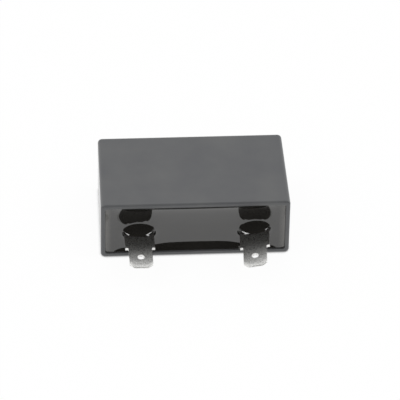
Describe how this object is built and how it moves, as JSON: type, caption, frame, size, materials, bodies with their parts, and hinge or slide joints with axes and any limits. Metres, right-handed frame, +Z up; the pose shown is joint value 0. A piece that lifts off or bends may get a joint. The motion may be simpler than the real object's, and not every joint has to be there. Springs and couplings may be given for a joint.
{
  "type": "box film capacitor",
  "caption": "Potted box film capacitor with a dark grey plastic case, black glossy resin in the open end and flat blade terminals with holes.",
  "frame": {"origin": "middle of the flat face that the case rests on, half way along its width and depth", "axes": "+X along the case's width, from the left to the right terminal; -Y out of the open, potted end, the way the terminals point; +Z up from the resting face"},
  "size_m": [0.051, 0.0445, 0.0178],
  "materials": {
    "case_plastic": "satin, finely eroded",
    "potting_resin": "mirror gloss",
    "tinned_brass": "bright tin, lightly rubbed",
    "film_roll": "satin metallised film",
    "core_plastic": "natural",
    "zinc_spray": "rough sprayed metal",
    "tinned_copper": "tinned, dull",
    "sleeve_plastic": "smooth",
    "solder": "satin"
  },
  "bodies": {
    "root": {"case": "case_plastic", "resin": "potting_resin", "terminal_left": "tinned_brass", "terminal_right": "tinned_brass", "winding_left": "film_roll", "winding_middle": "film_roll", "winding_right": "film_roll", "core_left": "core_plastic", "core_middle": "core_plastic", "core_right": "core_plastic", "spray_front_left": "zinc_spray", "spray_front_middle": "zinc_spray", "spray_front_right": "zinc_spray", "spray_rear_left": "zinc_spray", "spray_rear_middle": "zinc_spray", "spray_rear_right": "zinc_spray", "front_wire": "tinned_copper", "rear_wire": "tinned_copper", "return_lead": "tinned_copper", "lead_sleeve": "sleeve_plastic", "solder_front_left": "solder", "solder_front_middle": "solder", "solder_front_right": "solder", "solder_rear_left": "solder", "solder_rear_middle": "solder", "solder_rear_right": "solder", "solder_lead": "solder", "solder_terminal_left": "solder", "solder_terminal_right": "solder"}
  },
  "joints": []
}
